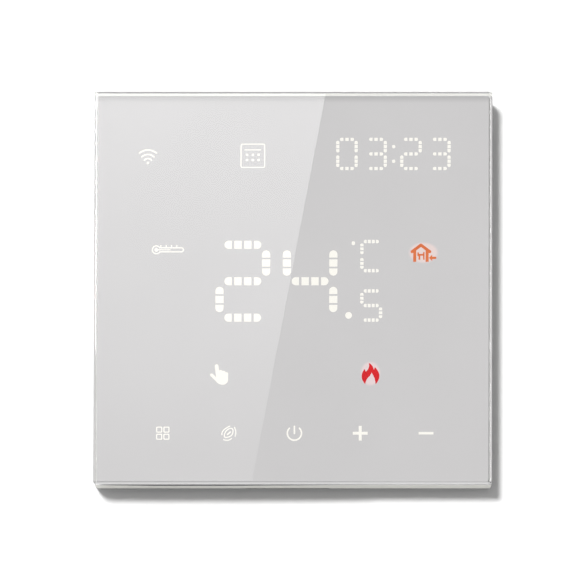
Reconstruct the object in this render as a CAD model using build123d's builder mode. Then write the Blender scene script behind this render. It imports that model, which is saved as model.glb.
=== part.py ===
from build123d import *
import math
import os

# Flush wall thermostat with a square glass touch front, in millimetres.
# The wall is the plane y = 0. The front faces -Y, the rear box reaches into the wall box along +Y, Z is up.
# The origin is the middle of the two wall screw slots, on the wall plane.

os.makedirs("parts", exist_ok=True)

# ---------------------------------------------------------------- driving dimensions

face_side = 86.0            # the square face of the standard 86 mm wall fitting
screw_spacing = 60.0        # the two wall screws of that fitting
slot_width = 4.2
slot_length = 6.0

# The stack from the wall to the face, as y of each boundary
wall_y = 0.0
plate_front_y = -1.0        # steel mounting plate
cover_front_y = -3.0        # base cover
frame_back_y = -3.1         # the front half starts here, a hair in front of the cover
ledge_back_y = -6.05        # back of the ledge that carries the glass
frame_front_y = -7.45
print_back_y = -7.85        # the adhesive fills the step between frame and print
glass_back_y = -8.0
face_y = -10.5

glass_corner = 0.5
glass_chamfer = 0.35
print_side = 84.5
print_corner = 0.3
frame_side = 85.6
frame_corner = 0.7
frame_inside_corner = 0.8
frame_wall = 1.75
frame_edge_break = 0.3
window_side = 75.0          # opening of the frame's front ledge
pad_side = 4.2              # corner pads of that opening, which carry the board bosses

diffuser_thickness = 0.2
board_front_y = -5.05
board_back_y = -4.05
board_side = 76.0
board_screw_at = 35.6

# Rear box
box_width = 48.0
box_height = 58.0
box_back_y = 30.0
box_wall = 1.6
box_corner = 3.0
tray_width = 44.2
tray_height = 54.2
tray_wall = 1.2
tray_floor_y = 2.4
tray_back_y = tray_floor_y + tray_wall
housing_screw_at = (18.2, 23.2)

# Power board
power_front_y = 6.3
power_back_y = 7.9
power_width = 44.0
power_height = 54.0
box_floor_y = box_back_y - box_wall

# Terminals
poles = 6
pole_pitch = 7.5
recess_top = -15.5          # the terminal recess is the lower rear corner of the box
recess_floor_y = 9.6
block_front_y = 9.8
block_back_y = 24.0
block_bottom = -28.5
block_top = -16.2
terminal_z = -22.3          # axis height of the terminal screws

# Header connector between the two halves
header_columns = 4
header_rows = 2
header_pitch = 2.54
header_at = (0.0, 17.5)

# Marks that shine through the print
touch_pitch = 14.2
touch_middle = 0.34
touch_row = -31.78
clock_middle = (21.65, 29.53)
big_digit_middle = 1.55
big_digit_at = (-10.89, 3.64)
small_digit_at = 16.85


# ---------------------------------------------------------------- helpers


def wall_parallel(depth):
    """A plane parallel to the wall at y = depth, seen from the front: right is +X, up is +Z, normal is -Y."""
    return Plane.XZ.offset(-depth)


def slab(front, back, width, height, corner=0.0, places=((0.0, 0.0),), mode=Mode.ADD):
    """Rectangular plates of one size between two depths, at each (x, z) place."""
    with BuildSketch(wall_parallel(back)) as outline:
        with Locations(*places):
            if corner > 0:
                RectangleRounded(width, height, corner)
            else:
                Rectangle(width, height)
    extrude(outline.sketch, amount=back - front, mode=mode)


def rod(front, back, radius, places=((0.0, 0.0),), mode=Mode.ADD):
    """Round pins or holes along Y between two depths, at each (x, z) place."""
    with BuildSketch(wall_parallel(back)) as outline:
        with Locations(*places):
            Circle(radius)
    extrude(outline.sketch, amount=back - front, mode=mode)


def turned(profile, places=((0.0, 0.0),), mode=Mode.ADD):
    """A turned shape on an axis along Y at each (x, z) place. The profile is a closed list of (radius, y)."""
    for x, z in places:
        with BuildSketch(Plane.XY.offset(z)) as section:
            with BuildLine():
                Polyline([(x + radius, y) for radius, y in profile], close=True)
            make_face()
        revolve(section.sketch, axis=Axis((x, 0, z), (0, 1, 0)), mode=mode)


def four_corners(x, z):
    return [(x, z), (-x, z), (-x, -z), (x, -z)]


def pan_screw(seat_y, tip_y, shank_radius, head_radius, head_height, places):
    """Pan-head screws whose heads face the front, with a cross recess."""
    head_y = seat_y - head_height
    bevel = head_height / 4
    profile = [
        (0, tip_y),
        (shank_radius * 0.6, tip_y),
        (shank_radius, tip_y - shank_radius * 0.7),
        (shank_radius, seat_y),
        (head_radius, seat_y),
        (head_radius, head_y + bevel),
        (head_radius - bevel, head_y),
        (0, head_y),
    ]
    turned(profile, places)
    recess = head_height * 0.55
    for width, height in ((head_radius * 1.1, head_radius * 0.3), (head_radius * 0.3, head_radius * 1.1)):
        slab(head_y, head_y + recess, width, height, places=places, mode=Mode.SUBTRACT)


def finish(builder, name):
    """Labels a finished piece and writes it."""
    builder.part.label = name
    export_step(builder.part, f"parts/{name}.step")


def stroke(points, width):
    """A line of the given width through points, with round ends and corners, drawn in the open sketch."""
    for start, end in zip(points, points[1:]):
        run = math.dist(start, end)
        turn = math.degrees(math.atan2(end[1] - start[1], end[0] - start[0]))
        with Locations(((start[0] + end[0]) / 2, (start[1] + end[1]) / 2)):
            SlotOverall(run + width, width, rotation=turn)


def curve_stroke(points, width, steps=16, closed=False):
    """A line of the given width along a smooth curve through points, drawn in the open sketch."""
    with BuildLine(mode=Mode.PRIVATE):
        curve = Spline(*points, periodic=closed)
    stroke([tuple(curve @ (index / steps))[:2] for index in range(steps + 1)], width)


def on_circle(centre, radius, angle):
    """The point of a circle at an angle in degrees."""
    turn = math.radians(angle)
    return (centre[0] + radius * math.cos(turn), centre[1] + radius * math.sin(turn))


def arc_stroke(centre, radius, first, last, width):
    """A round-ended arc of the given width from angle first to last, in degrees, drawn in the open sketch."""
    half = width / 2
    with BuildSketch(mode=Mode.PRIVATE) as band:
        with BuildLine():
            CenterArc(centre, radius + half, first, last - first)
            CenterArc(centre, radius - half, first, last - first)
            for angle in (first, last):
                Line(on_circle(centre, radius - half, angle), on_circle(centre, radius + half, angle))
        make_face()
    add(band.sketch)
    for angle in (first, last):
        with Locations(on_circle(centre, radius, angle)):
            Circle(half)


def around(middle, offsets):
    """Points given as offsets from a middle."""
    return [(middle[0] + x, middle[1] + z) for x, z in offsets]


# ---------------------------------------------------------------- display bars

# Which of the seven bars each character lights: a top, b upper right, c lower right, d bottom,
# e lower left, f upper left, g middle
BARS = {"0": "abcdef", "2": "abged", "3": "abgcd", "4": "fgbc", "5": "afgcd", "C": "afed", "8": "abcdefg"}


class DigitStyle:
    """Proportions of one size of dotted seven-bar digit."""

    def __init__(
        self, columns, bars, thickness, across_cells, across_pitch, up_cells, up_pitch, cell, rounded
    ):
        self.columns = columns              # distance between the two columns
        self.bars = bars                    # distance between neighbouring horizontal bars
        self.thickness = thickness
        self.across_cells = across_cells    # cells in a horizontal bar
        self.across_pitch = across_pitch
        self.up_cells = up_cells            # cells in a vertical bar
        self.up_pitch = up_pitch
        self.cell = cell                    # length of a cell along its bar
        self.rounded = rounded              # half-round bar ends


big_style = DigitStyle(10.05, 8.0, 1.78, 4, 2.12, 3, 1.98, 1.6, True)
unit_style = DigitStyle(4.05, 3.2, 0.74, 4, 0.87, 3, 0.86, 0.62, False)
clock_style = DigitStyle(3.98, 3.21, 0.7, 3, 1.14, 3, 0.9, 0.74, False)


def bar_places(style, centre, bars):
    """(x, z, is horizontal) of the middle of each bar named in bars."""
    x, z = centre
    half, step = style.columns / 2, style.bars
    places = {
        "a": (x, z + step, True),
        "b": (x + half, z + step / 2, False),
        "c": (x + half, z - step / 2, False),
        "d": (x, z - step, True),
        "e": (x - half, z - step / 2, False),
        "f": (x - half, z + step / 2, False),
        "g": (x, z, True),
    }
    return [places[bar] for bar in bars]


def bar_size(style, horizontal):
    """Overall length of one dotted bar."""
    cells, pitch = (
        (style.across_cells, style.across_pitch) if horizontal else (style.up_cells, style.up_pitch)
    )
    return (cells - 1) * pitch + style.cell


def dotted_bars(style, centre, bars):
    """The cells of the named bars, drawn in the open sketch."""
    for x, z, horizontal in bar_places(style, centre, bars):
        cells, pitch = (
            (style.across_cells, style.across_pitch) if horizontal else (style.up_cells, style.up_pitch)
        )
        length = bar_size(style, horizontal)
        gap = pitch - style.cell
        with BuildSketch(mode=Mode.PRIVATE) as bar:
            if style.rounded:
                SlotOverall(length, style.thickness)
            else:
                RectangleRounded(length, style.thickness, 0.3)
            for index in range(cells - 1):
                with Locations((-length / 2 + style.cell + gap / 2 + index * pitch, 0)):
                    Rectangle(gap, style.thickness + 1, mode=Mode.SUBTRACT)
        add(bar.sketch.moved(Location((x, z, 0), (0, 0, 0 if horizontal else 90))))


# ---------------------------------------------------------------- marks in the print

mark_plane = wall_parallel(print_back_y)
mark_thickness = print_back_y - glass_back_y

unit_top = 7.07             # middle of the unit letter, a C made of the outer bars of two half-height rows
unit_low = -3.78            # middle bar of the tenths digit
unit_places = ((small_digit_at, unit_top), (small_digit_at, unit_low))
decimal_at = (11.98, -5.94)
degree_at = (12.97, 9.9)

with BuildPart() as temperature_digits:
    with BuildSketch(mark_plane):
        for centre_x, character in zip(big_digit_at, "24"):
            dotted_bars(big_style, (centre_x, big_digit_middle), BARS[character])
        for place, character in zip(unit_places, "C5"):
            dotted_bars(unit_style, place, BARS[character])
        with Locations(decimal_at):
            Circle(0.74)
        with Locations(degree_at):
            RectangleRounded(0.72, 0.84, 0.3)
    extrude(amount=mark_thickness)
finish(temperature_digits, "temperature_digits")

clock_digit_at = [clock_middle[0] + offset for offset in (-10.1, -3.8, 3.74, 9.99)]
colon_places = [(clock_middle[0], clock_middle[1] + side * clock_style.bars / 2) for side in (1, -1)]
with BuildPart() as clock_digits:
    with BuildSketch(mark_plane):
        for centre_x, character in zip(clock_digit_at, "0323"):
            dotted_bars(clock_style, (centre_x, clock_middle[1]), BARS[character])
        with Locations(*colon_places):
            RectangleRounded(clock_style.thickness, clock_style.thickness, 0.25)
    extrude(amount=mark_thickness)
finish(clock_digits, "clock_digits")

# A dot under three arcs: (radius, half of the angle it spans)
wifi_at = (-31.5, 27.54)
wifi_arcs = ((0.98, 52), (1.88, 45), (2.86, 40))
with BuildPart() as wifi_mark:
    with BuildSketch(mark_plane):
        with Locations(wifi_at):
            Circle(0.3)
        for radius, reach in wifi_arcs:
            arc_stroke(wifi_at, radius, 90 - reach, 90 + reach, 0.34)
    extrude(amount=mark_thickness)
finish(wifi_mark, "wifi_mark")

# The badge holds a plain calendar grid in place of a weekday name
weekday_at = (-8.8, 29.12)
badge_side = 5.35
badge_inside = 4.85
with BuildPart() as weekday_mark:
    with BuildSketch(mark_plane):
        with Locations(weekday_at):
            RectangleRounded(badge_side, badge_side, 0.4)
            RectangleRounded(badge_inside, badge_inside, 0.15, mode=Mode.SUBTRACT)
        with Locations(*around(weekday_at, [(0, 1.3)])):
            Rectangle(3.6, 0.22)
        with Locations(*around(weekday_at, [(0, -0.35)])):
            with GridLocations(1.25, 1.15, 3, 2):
                RectangleRounded(0.56, 0.5, 0.1)
    extrude(amount=mark_thickness)
finish(weekday_mark, "weekday_mark")

# A lying thermometer with its scale, in place of a word for the measured room value
room_at = (-27.1, 8.45)
bulb_at = around(room_at, [(-2.5, 0)])[0]
tube_at = around(room_at, [(0.5, 0)])[0]
room_line = 0.27
with BuildPart() as room_mark:
    with BuildSketch(mark_plane):
        for mode, inset in ((Mode.ADD, 0.0), (Mode.SUBTRACT, room_line)):
            with Locations(bulb_at):
                Circle(1.0 - inset, mode=mode)
            with Locations(tube_at):
                SlotOverall(6.0 - 2 * inset, 1.15 - 2 * inset, mode=mode)
        with Locations(bulb_at):
            Circle(0.42)
        stroke([bulb_at, tube_at], 0.2)
        with Locations(*around(room_at, [(0.2, 0.8)])):
            with GridLocations(1.15, 1, 4, 1):
                Rectangle(room_line, 0.5)
    extrude(amount=mark_thickness)
finish(room_mark, "room_mark")

# House with a standing figure in its doorway and an arrow pointing in.
# Everything below is measured from the tip of the roof.
home_at = (27.58, 9.85)
roof_line = [(-1.92, -1.82), (0, -0.36), (1.92, -1.82)]
house_walls = [(side * 1.34, -2.75, 0.66, 2.6) for side in (-1, 1)]
doorway_figure = [
    (-0.6, -2.36, 0.33, 0.8),
    (-0.33, -3.0, 0.4, 1.15),
    (0, -2.5, 1.5, 0.4),
    (0.62, -2.74, 0.32, 1.7),
]
arrow_tip = (1.72, -3.17)
arrow_head = 0.72
arrow_tail = 1.36
with BuildPart() as home_mark:
    with BuildSketch(mark_plane):
        stroke(around(home_at, roof_line), 0.66)
        for x, z, width, height in house_walls + doorway_figure:
            with Locations(*around(home_at, [(x, z)])):
                Rectangle(width, height)
        head_points = [
            arrow_tip,
            (arrow_tip[0] + arrow_head, arrow_tip[1] + arrow_head),
            (arrow_tip[0] + arrow_head, arrow_tip[1] - arrow_head),
        ]
        with BuildLine():
            Polyline(*around(home_at, head_points), close=True)
        make_face()
        tail = [(arrow_tip[0] + arrow_head, arrow_tip[1]), (arrow_tip[0] + arrow_tail, arrow_tip[1])]
        stroke(around(home_at, tail), 0.52)
    extrude(amount=mark_thickness)
finish(home_mark, "home_mark")

# A hand with a raised forefinger: three knuckles, a thumb and a rounded palm
palm_at = (-15.29, -19.42)
fingers = [
    ([(-1.2, 2.35), (-0.85, -0.4)], 0.8),
    ([(-0.35, 1.1), (-0.3, -0.3)], 0.85),
    ([(0.3, 0.95), (0.25, -0.3)], 0.8),
    ([(0.92, 0.65), (0.86, -0.5)], 0.76),
    ([(-2.28, 0.42), (-0.9, -0.95)], 0.66),
]
palm = [(-1.2, 0.3), (1.24, 0.1), (1.3, -0.7), (0.85, -1.5), (-0.1, -1.72), (-0.95, -1.4), (-1.5, -0.7)]
with BuildPart() as hand_mark:
    with BuildSketch(mark_plane):
        for points, width in fingers:
            stroke(around(palm_at, points), width)
        wrist_top, side_top, side_low, heel_right, heel, heel_left, thumb_root = around(palm_at, palm)
        with BuildLine():
            Polyline(thumb_root, wrist_top, side_top, side_low)
            ThreePointArc(side_low, heel_right, heel)
            ThreePointArc(heel, heel_left, thumb_root)
        make_face()
    extrude(amount=mark_thickness)
finish(hand_mark, "hand_mark")

# Two flame tongues round a pointed hollow. Each outline piece starts where the one before it ends.
flame_at = (16.72, -18.86)
flame_outline = [
    [(-1.1, -2.2), (-1.9, -0.55), (-1.25, 1.18)],
    [(-1.25, 1.18), (-1.0, 0.55)],
    [(-1.0, 0.55), (-0.46, 1.25), (-0.34, 2.5)],
    [(-0.34, 2.5), (0.52, 1.65), (0.74, 0.9)],
    [(0.74, 0.9), (0.92, 1.6)],
    [(0.92, 1.6), (1.94, -0.35), (1.12, -2.2)],
    [(1.12, -2.2), (0.9, -0.95), (0.24, 0.35)],
    [(0.24, 0.35), (-0.1, -0.35)],
    [(-0.1, -0.35), (-0.78, -1.1), (-1.1, -2.2)],
]
with BuildPart() as flame_mark:
    with BuildSketch(mark_plane):
        with BuildLine():
            for points in flame_outline:
                if len(points) == 2:
                    Line(*around(flame_at, points))
                else:
                    Spline(*around(flame_at, points))
        make_face()
    extrude(amount=mark_thickness)
finish(flame_mark, "flame_mark")

touch_at = [(touch_middle + index * touch_pitch, touch_row) for index in range(-2, 3)]
menu_at, leaf_at, power_at, plus_at, minus_at = touch_at
# Leaf: an almond ring with a vein, sheltered by three arcs, all leaning to the upper right
leaf_ring = [(-0.93, -0.75), (-0.73, 0.18), (0.05, 0.95), (0.73, 1.06), (0.84, -0.15), (0.19, -0.75)]
leaf_vein = [(-0.24, -0.3), (0.36, 0.26)]
leaf_arcs = [
    [(-1.47, -0.33), (-1.06, 0.7), (-0.24, 1.27), (0.26, 1.55)],
    [(1.27, 1.27), (1.51, 0.53), (1.43, -0.66)],
    [(-1.06, -1.4), (-0.4, -1.56), (0.6, -1.2)],
]
leaf_line = 0.25
power_line = 0.35
with BuildPart() as touch_key_marks:
    with BuildSketch(mark_plane):
        # menu: four small frames
        with Locations(menu_at):
            with GridLocations(1.56, 1.56, 2, 2):
                RectangleRounded(1.34, 1.34, 0.25)
                RectangleRounded(0.84, 0.84, 0.1, mode=Mode.SUBTRACT)
        curve_stroke(around(leaf_at, leaf_ring), leaf_line, closed=True)
        stroke(around(leaf_at, leaf_vein), 0.32)
        for points in leaf_arcs:
            curve_stroke(around(leaf_at, points), leaf_line, steps=8)
        # power: open ring and bar
        arc_stroke(power_at, 1.53, 135, 405, power_line)
        stroke(around(power_at, [(0, 1.5), (0, -0.05)]), power_line)
        # plus and minus
        with Locations(plus_at):
            Rectangle(3.24, 0.64)
            Rectangle(0.64, 3.24)
        with Locations(minus_at):
            Rectangle(3.22, 0.55)
    extrude(amount=mark_thickness)
finish(touch_key_marks, "touch_key_marks")

marks = [
    temperature_digits,
    clock_digits,
    wifi_mark,
    weekday_mark,
    room_mark,
    home_mark,
    hand_mark,
    flame_mark,
    touch_key_marks,
]

# ---------------------------------------------------------------- glass and what is glued to it

with BuildPart() as glass_panel:
    slab(face_y, glass_back_y, face_side, face_side, glass_corner)
    chamfer(glass_panel.faces().filter_by(Axis.Y).edges(), glass_chamfer)
finish(glass_panel, "glass_panel")

with BuildPart() as printed_film:
    slab(glass_back_y, print_back_y, print_side, print_side, print_corner)
    for mark in marks:
        add(mark.part, mode=Mode.SUBTRACT)
finish(printed_film, "printed_film")

gasket_window = window_side + 0.6
with BuildPart() as adhesive_gasket:
    slab(print_back_y, frame_front_y, print_side, print_side, print_corner)
    slab(print_back_y, frame_front_y, gasket_window, gasket_window, mode=Mode.SUBTRACT)
finish(adhesive_gasket, "adhesive_gasket")

# ---------------------------------------------------------------- front frame

wall_inside = frame_side - 2 * frame_wall
pad_at = window_side / 2 - pad_side / 2
boss_places = four_corners(board_screw_at, board_screw_at)
latch_z = 20.0
latch_y = -4.2
latch_places = [(side * wall_inside / 2, height) for side in (-1, 1) for height in (-latch_z, latch_z)]
vent_middle = -32.0
vent_count = 6
vent_pitch = 2.0
with BuildPart() as front_frame:
    slab(frame_front_y, frame_back_y, frame_side, frame_side, frame_corner)
    chamfer(front_frame.faces().sort_by(Axis.Y)[0].edges(), frame_edge_break)
    slab(ledge_back_y, frame_back_y, wall_inside, wall_inside, frame_inside_corner, mode=Mode.SUBTRACT)
    slab(frame_front_y, ledge_back_y, window_side, window_side, mode=Mode.SUBTRACT)
    # corner pads with a boss each for the display board
    slab(frame_front_y, ledge_back_y, pad_side, pad_side, places=four_corners(pad_at, pad_at))
    rod(ledge_back_y, board_front_y, 1.9, boss_places)
    rod(ledge_back_y - 0.8, board_front_y, 0.75, boss_places, Mode.SUBTRACT)
    # air slots low in both side walls, level with the sensor
    with BuildSketch(Plane.YZ):
        with Locations((-4.35, vent_middle)):
            with GridLocations(1.0, vent_pitch, 1, vent_count):
                SlotOverall(1.6, 0.9)
    extrude(amount=frame_side, both=True, mode=Mode.SUBTRACT)
    # shallow grooves where the latch springs rest
    slab(latch_y - 0.6, latch_y + 0.6, 0.4, 9.0, places=latch_places, mode=Mode.SUBTRACT)
finish(front_frame, "front_frame")

# ---------------------------------------------------------------- light path behind the print

corner_notch_at = window_side / 2 - pad_side / 2 - 0.2
corner_notch = pad_side + 0.5
mask_side = window_side - 0.6
diffuser_back_y = print_back_y + diffuser_thickness
spring_radius = 3.0
key_hole_radius = 3.6
with BuildPart() as diffuser_sheet:
    slab(print_back_y, diffuser_back_y, mask_side, mask_side)
    slab(print_back_y, diffuser_back_y, corner_notch, corner_notch, places=four_corners(pad_at, pad_at),
         mode=Mode.SUBTRACT)
    rod(print_back_y, diffuser_back_y, key_hole_radius, touch_at, Mode.SUBTRACT)
finish(diffuser_sheet, "diffuser_sheet")

# Every bar of every digit has its well and its lamps, lit or not
digit_places = [(big_style, (x, big_digit_middle)) for x in big_digit_at]
digit_places += [(unit_style, place) for place in unit_places]
digit_places += [(clock_style, (x, clock_middle[1])) for x in clock_digit_at]
all_bars = [(style, bar) for style, place in digit_places for bar in bar_places(style, place, BARS["8"])]
# Wells of the other marks: (x, z, width, height)
mark_wells = [
    (wifi_at[0], wifi_at[1] + 1.4, 5.0, 4.2),
    (*weekday_at, 5.9, 5.9),
    (*room_at, 7.6, 2.4),
    (home_at[0] + 0.5, home_at[1] - 2.0, 6.0, 5.0),
    (palm_at[0] - 0.3, palm_at[1] + 0.5, 4.4, 5.4),
    (*flame_at, 4.8, 5.4),
    (*decimal_at, 1.5, 1.5),
    *[(*place, 0.9, 0.9) for place in (degree_at, *colon_places)],
]
well_margin = 0.15
mask_back_y = board_front_y - 0.05
with BuildPart() as light_mask:
    slab(diffuser_back_y, mask_back_y, mask_side, mask_side)
    slab(diffuser_back_y, mask_back_y, corner_notch, corner_notch, places=four_corners(pad_at, pad_at),
         mode=Mode.SUBTRACT)
    rod(diffuser_back_y, mask_back_y, key_hole_radius, touch_at, Mode.SUBTRACT)
    with BuildSketch(wall_parallel(mask_back_y)):
        for style, (x, z, horizontal) in all_bars:
            with Locations((x, z)):
                Rectangle(
                    bar_size(style, horizontal) - well_margin,
                    style.thickness - well_margin,
                    rotation=0 if horizontal else 90,
                )
        for x, z, width, height in mark_wells:
            with Locations((x, z)):
                Rectangle(width, height)
    extrude(amount=mask_back_y - diffuser_back_y, mode=Mode.SUBTRACT)
finish(light_mask, "light_mask")

lamp_length = 0.8
lamp_width = 0.5
lamp_height = 0.4
lamp_spread = 2.1           # from the middle of a lying bar to each of its two lamps
lamp_spread_upright = 1.45
lamp_places = []            # (x, z, turn)
for style, (x, z, horizontal) in all_bars:
    offsets = (0,)
    if style is big_style:
        spread = lamp_spread if horizontal else lamp_spread_upright
        offsets = (-spread, spread)
    for along in offsets:
        if horizontal:
            lamp_places.append((x + along, z, 0))
        else:
            lamp_places.append((x, z + along, 90))
for x, z, width, height in mark_wells:
    if width < 2:
        lamp_places.append((x, z, 90 if width < 1 and height < 1 else 0))
    else:
        lamp_places += [(x - width / 5, z, 0), (x + width / 5, z, 0)]
lamp_places += [(x, z, 0) for x, z in touch_at]
with BuildPart() as led_chips:
    with BuildSketch(wall_parallel(board_front_y)):
        for x, z, turn in lamp_places:
            with Locations((x, z)):
                Rectangle(lamp_length, lamp_width, rotation=turn)
    extrude(amount=lamp_height)
finish(led_chips, "led_chips")

wire_radius = 0.18
spring_turns = 3
spring_front_y = print_back_y + wire_radius + 0.02
spring_back_y = board_front_y - wire_radius - 0.02
spring_pitch = (spring_back_y - spring_front_y) / spring_turns
with BuildPart() as touch_springs:
    for x, z in touch_at:
        with BuildLine() as coil:
            Helix(spring_pitch, spring_back_y - spring_front_y, spring_radius, center=(x, spring_back_y, z),
                  direction=(0, -1, 0))
        with BuildSketch(Plane(origin=coil.line @ 0, z_dir=coil.line % 0)) as wire:
            Circle(wire_radius)
        sweep(wire.sketch, path=coil.line)
finish(touch_springs, "touch_springs")

# ---------------------------------------------------------------- display board and what sits on it

sensor_at = (34.0, -board_side / 2 + 0.9)
sensor_y = (board_front_y + board_back_y) / 2
sensor_radius = 0.5
with BuildPart() as display_board:
    slab(board_front_y, board_back_y, board_side, board_side, 1.0)
    rod(board_front_y, board_back_y, 0.95, boss_places, Mode.SUBTRACT)
    # slit that keeps the sensor away from the warmth of the board
    slab(board_front_y, board_back_y, 5.0, 2.0, places=[(sensor_at[0] - 1.5, sensor_at[1])],
         mode=Mode.SUBTRACT)
finish(display_board, "display_board")

with BuildPart() as board_screws:
    screw_profile = [
        (0, ledge_back_y - 0.6),
        (0.72, ledge_back_y - 0.6),
        (0.72, board_back_y),
        (1.5, board_back_y),
        (1.5, board_back_y + 0.5),
        (1.2, board_back_y + 0.75),
        (0, board_back_y + 0.75),
    ]
    turned(screw_profile, boss_places)
    for width, height in ((1.7, 0.4), (0.4, 1.7)):
        slab(board_back_y + 0.4, board_back_y + 0.8, width, height, places=boss_places, mode=Mode.SUBTRACT)
finish(board_screws, "board_screws")

with BuildPart() as temperature_sensor:
    with BuildSketch(Plane.YZ.offset(sensor_at[0] - 1.3)):
        with Locations((sensor_y, sensor_at[1])):
            Circle(sensor_radius)
    extrude(amount=2.0)
    fillet(temperature_sensor.edges(), 0.35)
    with BuildSketch(Plane.YZ.offset(sensor_at[0] - 3.7)):
        with Locations((sensor_y - 0.2, sensor_at[1] - 0.2), (sensor_y + 0.2, sensor_at[1] + 0.2)):
            Circle(0.12)
    extrude(amount=2.6)
finish(temperature_sensor, "temperature_sensor")

socket_height = 5.0
socket_back_y = board_back_y + socket_height
socket_width = header_columns * header_pitch + 0.4
socket_depth = header_rows * header_pitch + 0.4
header_places = [
    (
        header_at[0] + (column - (header_columns - 1) / 2) * header_pitch,
        header_at[1] + (row - (header_rows - 1) / 2) * header_pitch,
    )
    for column in range(header_columns)
    for row in range(header_rows)
]
with BuildPart() as header_socket:
    slab(board_back_y, socket_back_y, socket_width, socket_depth, 0.3, [header_at])
    slab(board_back_y + 0.6, socket_back_y, 0.9, 0.9, places=header_places, mode=Mode.SUBTRACT)
finish(header_socket, "header_socket")

chip_at = (-9.0, 3.0)
chip_side = 7.0
chip_height = 1.4
with BuildPart() as controller_chip:
    for turn in (0, 90):
        for index in range(8):
            along = (index - 3.5) * 0.8
            place, leg = (along, 0), (0.3, chip_side + 2.0)
            if turn:
                place, leg = (0, along), (chip_side + 2.0, 0.3)
            slab(board_back_y + 0.05, board_back_y + 0.25, *leg, places=around(chip_at, [place]))
    slab(board_back_y + 0.05, board_back_y + chip_height, chip_side, chip_side, 0.4, [chip_at])
    chamfer(controller_chip.faces().sort_by(Axis.Y)[-1].edges(), 0.25)
    rod(board_back_y + chip_height - 0.15, board_back_y + chip_height, 0.4,
        [(chip_at[0] - 2.4, chip_at[1] + 2.4)], Mode.SUBTRACT)
finish(controller_chip, "controller_chip")

module_at = (11.0, 1.0)
module_back_y = board_back_y + 0.8
with BuildPart() as wifi_module:
    slab(board_back_y, module_back_y, 16.0, 20.0, 0.3, [module_at])
    edge_contacts = [(side * 8.0, -6.5 + index * 1.6) for side in (-1, 1) for index in range(8)]
    rod(board_back_y, module_back_y, 0.4, around(module_at, edge_contacts), Mode.SUBTRACT)
finish(wifi_module, "wifi_module")

with BuildPart() as wifi_shield:
    slab(module_back_y, module_back_y + 2.0, 13.0, 11.5, 0.6, [(module_at[0], module_at[1] - 2.6)])
    fillet(wifi_shield.faces().sort_by(Axis.Y)[-1].edges(), 0.3)
finish(wifi_shield, "wifi_shield")

buzzer_at = (-11.0, -13.0)
with BuildPart() as buzzer:
    slab(board_back_y, board_back_y + 1.0, 9.6, 9.6, 0.8, [buzzer_at])
    rod(board_back_y + 1.0, board_back_y + 3.8, 4.6, [buzzer_at])
    fillet(buzzer.faces().sort_by(Axis.Y)[-1].edges(), 0.4)
    rod(board_back_y + 2.8, board_back_y + 3.8, 1.0, [buzzer_at], Mode.SUBTRACT)
finish(buzzer, "buzzer")

cell_at = (10.0, -18.0)
cell_radius = 6.2
cell_front_y = board_back_y + 0.5
cell_back_y = cell_front_y + 2.0
with BuildPart() as backup_cell:
    turned(
        [
            (0, cell_front_y),
            (cell_radius - 0.8, cell_front_y),
            (cell_radius - 0.8, cell_front_y + 0.35),
            (cell_radius, cell_front_y + 0.5),
            (cell_radius, cell_back_y - 0.2),
            (cell_radius - 0.2, cell_back_y),
            (0, cell_back_y),
        ],
        [cell_at],
    )
finish(backup_cell, "backup_cell")

strap_width = 4.0
with BuildPart() as cell_holder:
    slab(board_back_y, cell_front_y - 0.05, 15.4, 9.0, 1.0, [cell_at])
    for side in (-1, 1):
        jaw_at = (cell_at[0] + side * (cell_radius + 0.95), cell_at[1])
        slab(board_back_y, cell_back_y + 0.35, 1.3, strap_width, places=[jaw_at])
    slab(cell_back_y + 0.05, cell_back_y + 0.35, 2 * cell_radius + 2.0, strap_width, places=[cell_at])
finish(cell_holder, "cell_holder")

# ---------------------------------------------------------------- mounting plate and base cover

plate_side = 80.0
cover_side = 85.4
cover_corner = 0.7
pry_slot_width = 18.0
pry_slot_height = 1.6
pry_slot_depth = 1.2
pry_slot_x = -1.2
slot_places = [(side * screw_spacing / 2, 0.0) for side in (-1, 1)]
plate_screw_places = four_corners(34.0, 22.0)
with BuildPart() as mounting_plate:
    slab(plate_front_y, wall_y, plate_side, plate_side, 3.0)
    slab(plate_front_y, wall_y, box_width + 1.0, box_height + 1.0, box_corner + 0.5, mode=Mode.SUBTRACT)
    with BuildSketch(wall_parallel(wall_y)):
        with Locations(*slot_places):
            SlotOverall(slot_length, slot_width)
    extrude(amount=wall_y - plate_front_y, mode=Mode.SUBTRACT)
    with Locations(*[Plane(origin=(x, wall_y, z), z_dir=(0, 1, 0)) for x, z in plate_screw_places]):
        CounterSinkHole(radius=1.1, counter_sink_radius=1.95, depth=wall_y - plate_front_y)
finish(mounting_plate, "mounting_plate")

with BuildPart() as plate_screws:
    turned(
        [
            (0, -3.45),
            (0.5, -3.45),
            (0.82, -3.1),
            (0.82, -0.98),
            (1.75, -0.05),
            (0, -0.05),
        ],
        plate_screw_places,
    )
    for width, height in ((2.0, 0.45), (0.45, 2.0)):
        slab(-0.6, wall_y, width, height, places=plate_screw_places, mode=Mode.SUBTRACT)
finish(plate_screws, "plate_screws")

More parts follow.
